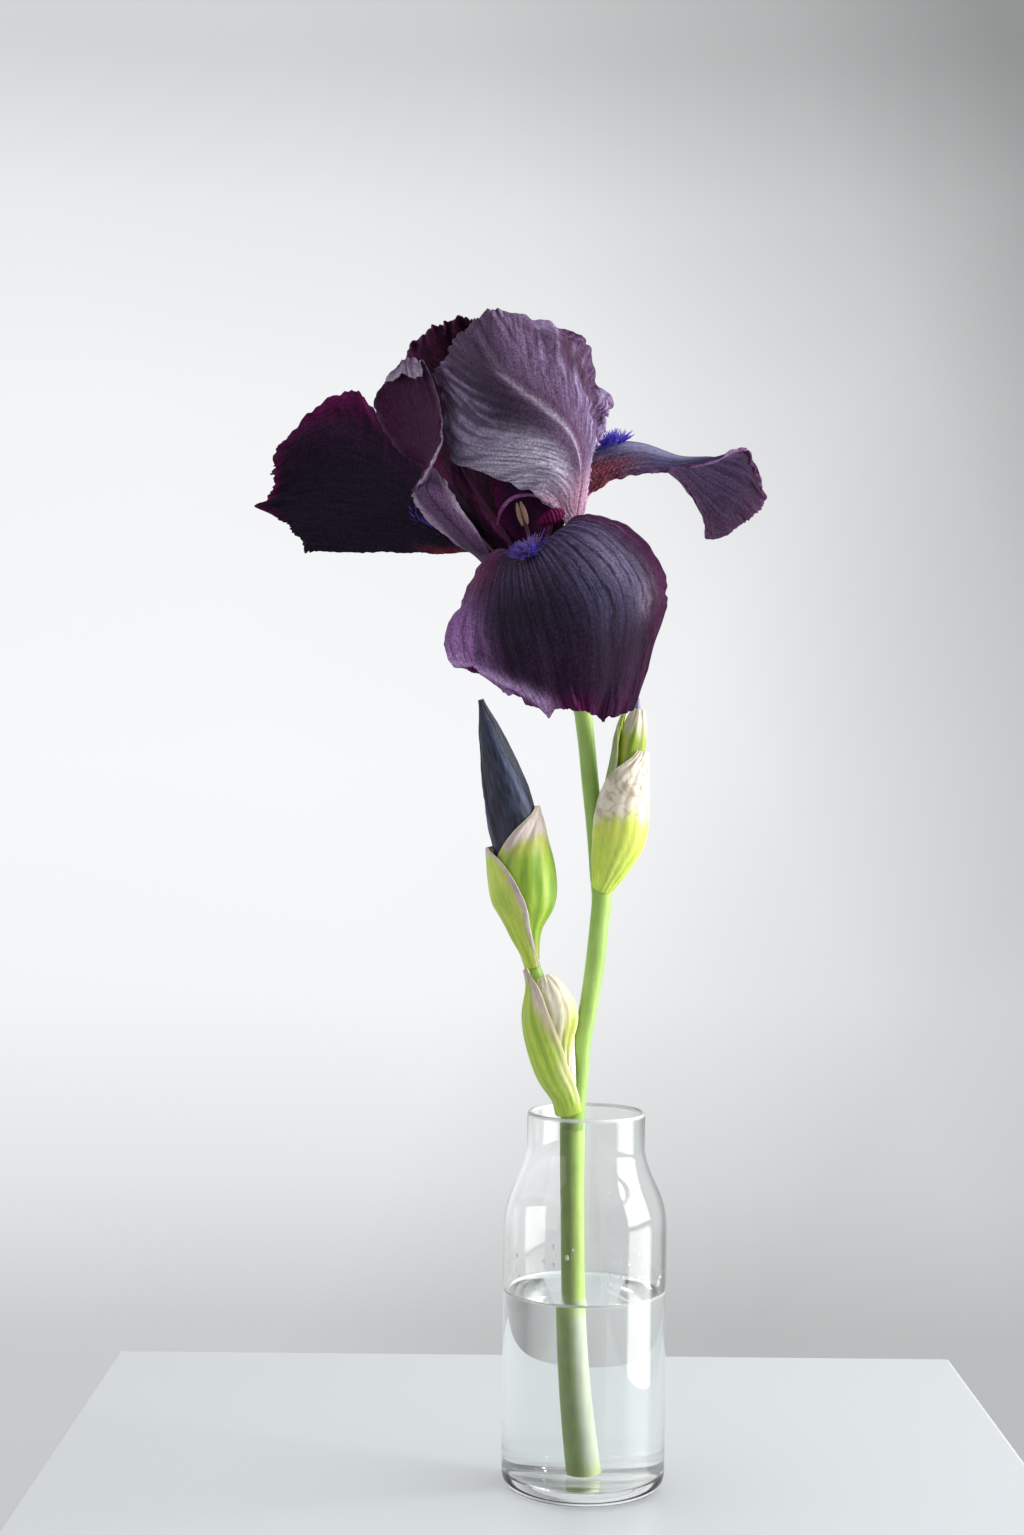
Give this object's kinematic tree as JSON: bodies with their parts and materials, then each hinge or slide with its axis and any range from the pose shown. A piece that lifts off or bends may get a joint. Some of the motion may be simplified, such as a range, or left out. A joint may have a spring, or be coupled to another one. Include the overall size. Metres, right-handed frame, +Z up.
{
  "type": "iris stalk in a glass vase",
  "caption": "Dark bearded iris stalk with an open bloom and furled buds in green bracts, standing in water in a small clear glass bottle vase with a sloping shoulder.",
  "frame": {"origin": "centre of the vase's foot, on the surface it stands on", "axes": "+Z up along the vase's axis, -Y towards the side the front fall and the beard face, +X to the right seen from there"},
  "size_m": [0.1666, 0.0997, 0.375],
  "materials": {
    "glass": "polished",
    "water": "polished",
    "stem_green": "satin",
    "bract_green": "satin",
    "bract_papery": "matte",
    "bud_navy": "satin",
    "fall_plum": "matte",
    "standard_lilac": "matte",
    "style_wine": "matte",
    "stamen_cream": "matte",
    "beard_violet": "matte"
  },
  "bodies": {
    "root": {"vase": "glass", "water": "water", "stalk": "stem_green", "flower_tube": "stem_green", "side_bud": "bud_navy", "side_bract_left": "bract_green", "side_bract_right": "bract_green", "lower_bract_left": "bract_green", "lower_bract_right": "bract_papery", "upper_sheath": "bract_green", "upper_inner_bract": "bract_green", "small_bud_bract": "bract_green", "small_bud": "bud_navy", "fall_front": "fall_plum", "fall_left": "fall_plum", "fall_right": "fall_plum", "standard_front": "standard_lilac", "standard_left": "standard_lilac", "standard_back": "standard_lilac", "style": "style_wine", "stamen_front": "stamen_cream", "stamen_left": "stamen_cream", "stamen_right": "stamen_cream", "beard_front": "beard_violet", "beard_left": "beard_violet", "beard_right": "beard_violet"}
  },
  "joints": []
}
